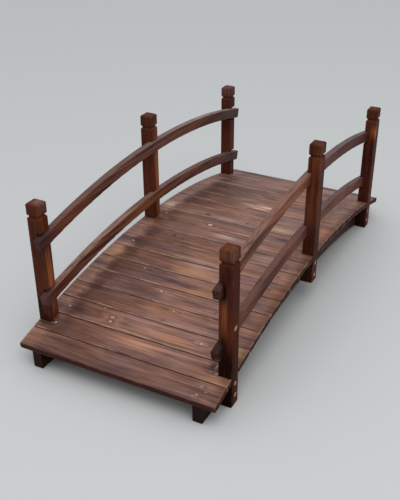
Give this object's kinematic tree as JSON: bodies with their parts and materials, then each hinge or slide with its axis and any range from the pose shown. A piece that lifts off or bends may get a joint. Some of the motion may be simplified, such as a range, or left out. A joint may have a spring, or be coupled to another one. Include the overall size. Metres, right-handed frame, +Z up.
{
  "type": "moon bridge",
  "caption": "Small arched wooden garden footbridge: cross boards on arch beams, square posts with necked tops, and upper and lower arched rails let into the posts.",
  "frame": {"origin": "on the ground under the middle of the bridge", "axes": "+X along the bridge towards its far end, +Y across it towards its left side, +Z up"},
  "size_m": [1.4168, 0.623, 0.5413],
  "materials": {
    "deck_boards": "scorched and stained softwood, semi-satin, worn paler along the grain",
    "arch_beams": "dark stained softwood, satin",
    "posts": "dark stained softwood with scorched patches, satin",
    "rails": "dark stained softwood, satin, greyed on the upper face"
  },
  "bodies": {
    "root": {"stringer_left": "arch_beams", "stringer_right": "arch_beams", "deck_board_01": "deck_boards", "deck_board_02": "deck_boards", "deck_board_03": "deck_boards", "deck_board_04": "deck_boards", "deck_board_05": "deck_boards", "deck_board_06": "deck_boards", "deck_board_07": "deck_boards", "deck_board_08": "deck_boards", "deck_board_09": "deck_boards", "deck_board_10": "deck_boards", "deck_board_11": "deck_boards", "deck_board_12": "deck_boards", "deck_board_13": "deck_boards", "deck_board_14": "deck_boards", "deck_board_15": "deck_boards", "deck_board_16": "deck_boards", "deck_board_17": "deck_boards", "deck_board_18": "deck_boards", "deck_board_19": "deck_boards", "deck_board_20": "deck_boards", "post_near_left": "posts", "post_near_right": "posts", "post_middle_left": "posts", "post_middle_right": "posts", "post_far_left": "posts", "post_far_right": "posts", "rail_upper_left": "rails", "rail_lower_left": "rails", "rail_upper_right": "rails", "rail_lower_right": "rails"}
  },
  "joints": []
}
